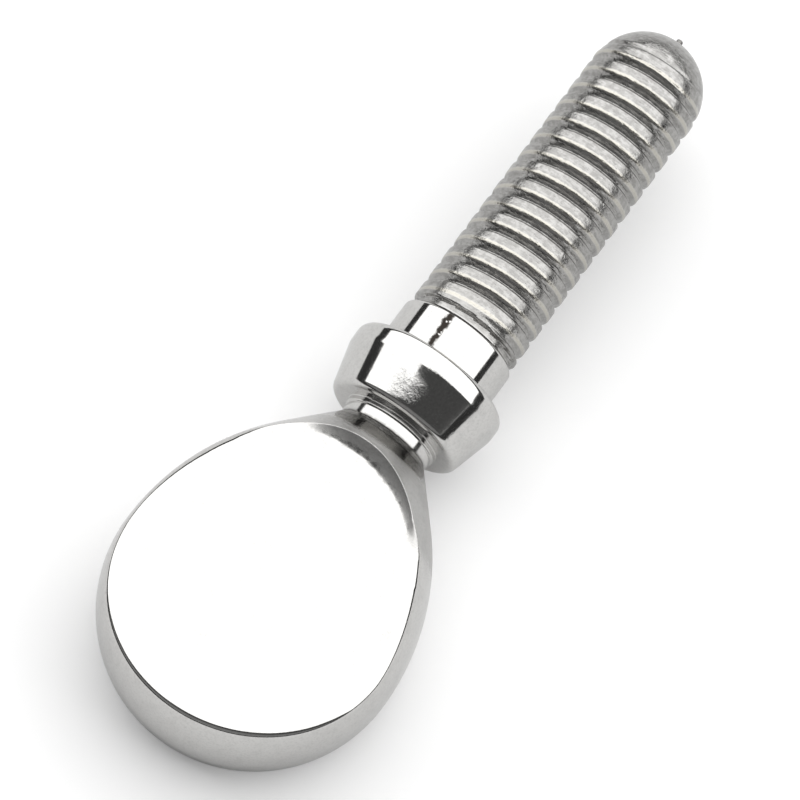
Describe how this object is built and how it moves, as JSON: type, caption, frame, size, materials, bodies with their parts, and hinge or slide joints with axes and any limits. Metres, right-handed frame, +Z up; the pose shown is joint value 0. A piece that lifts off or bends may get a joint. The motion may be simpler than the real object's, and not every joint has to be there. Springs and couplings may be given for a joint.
{
  "type": "saxophone neck screw",
  "caption": "Nickel-plated thumb screw that clamps a saxophone neck: egg-shaped head with two shallow dished thumb faces, short neck, conical collar, plain shank and fine thread with a domed end.",
  "frame": {"origin": "bottom centre of the box round the screw as it lies at rest on its head and collar", "axes": "+X along the screw toward the threaded tip, which rises 2.9 degrees; +Z up, out of the upper thumb face; Y across the head"},
  "size_m": [0.0284, 0.0098, 0.0054],
  "materials": {
    "plate": "bright nickel plate over turned brass, polished, with fine turning marks at the neck"
  },
  "bodies": {
    "root": {"neck_screw": "plate"}
  },
  "joints": []
}
